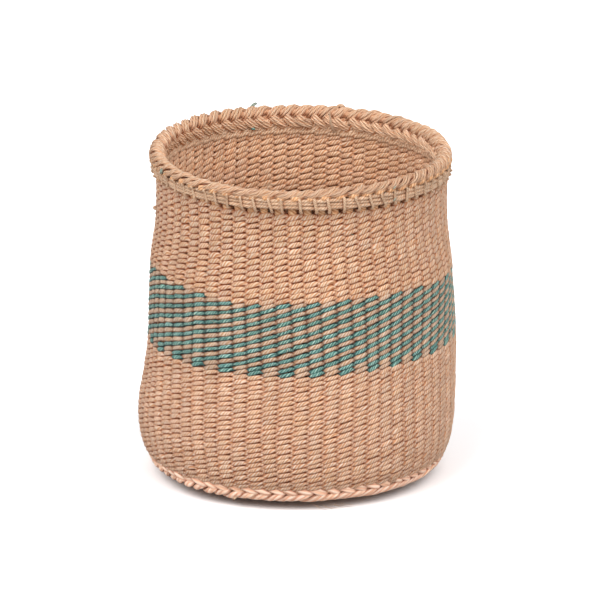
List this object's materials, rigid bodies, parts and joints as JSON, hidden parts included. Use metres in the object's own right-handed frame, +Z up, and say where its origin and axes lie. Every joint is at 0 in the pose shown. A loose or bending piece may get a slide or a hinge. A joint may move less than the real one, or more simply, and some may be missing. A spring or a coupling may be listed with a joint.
{
  "type": "sisal basket",
  "caption": "Small round twined sisal basket with upright stakes in the weft, a two-coloured twined band, a plaited lashed rim and a corded foot.",
  "frame": {"origin": "on the floor under the middle of the base", "axes": "+Z up along the basket's axis, towards its open mouth; X and Y along the two layers of crossing stakes"},
  "size_m": [0.158, 0.158, 0.168],
  "materials": {
    "natural_weft": "natural sisal cord, peach beige, matt with a slight fibre sheen",
    "band_weft": "natural and teal-dyed sisal cord twined together",
    "rim_cord": "pale undyed sisal cord",
    "stake_cord": "darker sisal cord, mostly hidden in the weft"
  },
  "bodies": {
    "root": {"base_weft": "natural_weft", "base_edge_cord": "natural_weft", "wall_foot_weft": "natural_weft", "wall_lower_weft": "natural_weft", "wall_band_weft": "band_weft", "wall_upper_weft": "natural_weft", "rim_core_cord": "rim_cord", "rim_lashing": "rim_cord", "rim_plait": "rim_cord", "crossing_stake_x_1": "stake_cord", "crossing_stake_y_1": "stake_cord", "crossing_stake_x_2": "stake_cord", "crossing_stake_y_2": "stake_cord", "crossing_stake_x_3": "stake_cord", "crossing_stake_y_3": "stake_cord", "crossing_stake_x_4": "stake_cord", "crossing_stake_y_4": "stake_cord", "crossing_stake_x_5": "stake_cord", "crossing_stake_y_5": "stake_cord", "crossing_stake_x_6": "stake_cord", "crossing_stake_y_6": "stake_cord", "crossing_stake_x_7": "stake_cord", "crossing_stake_y_7": "stake_cord", "crossing_stake_x_8": "stake_cord", "crossing_stake_y_8": "stake_cord", "added_stake_1": "stake_cord", "added_stake_2": "stake_cord", "added_stake_3": "stake_cord", "added_stake_4": "stake_cord", "added_stake_5": "stake_cord", "added_stake_6": "stake_cord", "added_stake_7": "stake_cord", "added_stake_8": "stake_cord", "added_stake_9": "stake_cord", "added_stake_10": "stake_cord", "added_stake_11": "stake_cord", "added_stake_12": "stake_cord", "added_stake_13": "stake_cord", "added_stake_14": "stake_cord", "added_stake_15": "stake_cord", "added_stake_16": "stake_cord", "added_stake_17": "stake_cord", "added_stake_18": "stake_cord", "added_stake_19": "stake_cord", "added_stake_20": "stake_cord", "added_stake_21": "stake_cord", "added_stake_22": "stake_cord", "added_stake_23": "stake_cord", "added_stake_24": "stake_cord", "added_stake_25": "stake_cord", "added_stake_26": "stake_cord", "added_stake_27": "stake_cord", "added_stake_28": "stake_cord", "added_stake_29": "stake_cord", "added_stake_30": "stake_cord", "added_stake_31": "stake_cord", "added_stake_32": "stake_cord"}
  },
  "joints": []
}
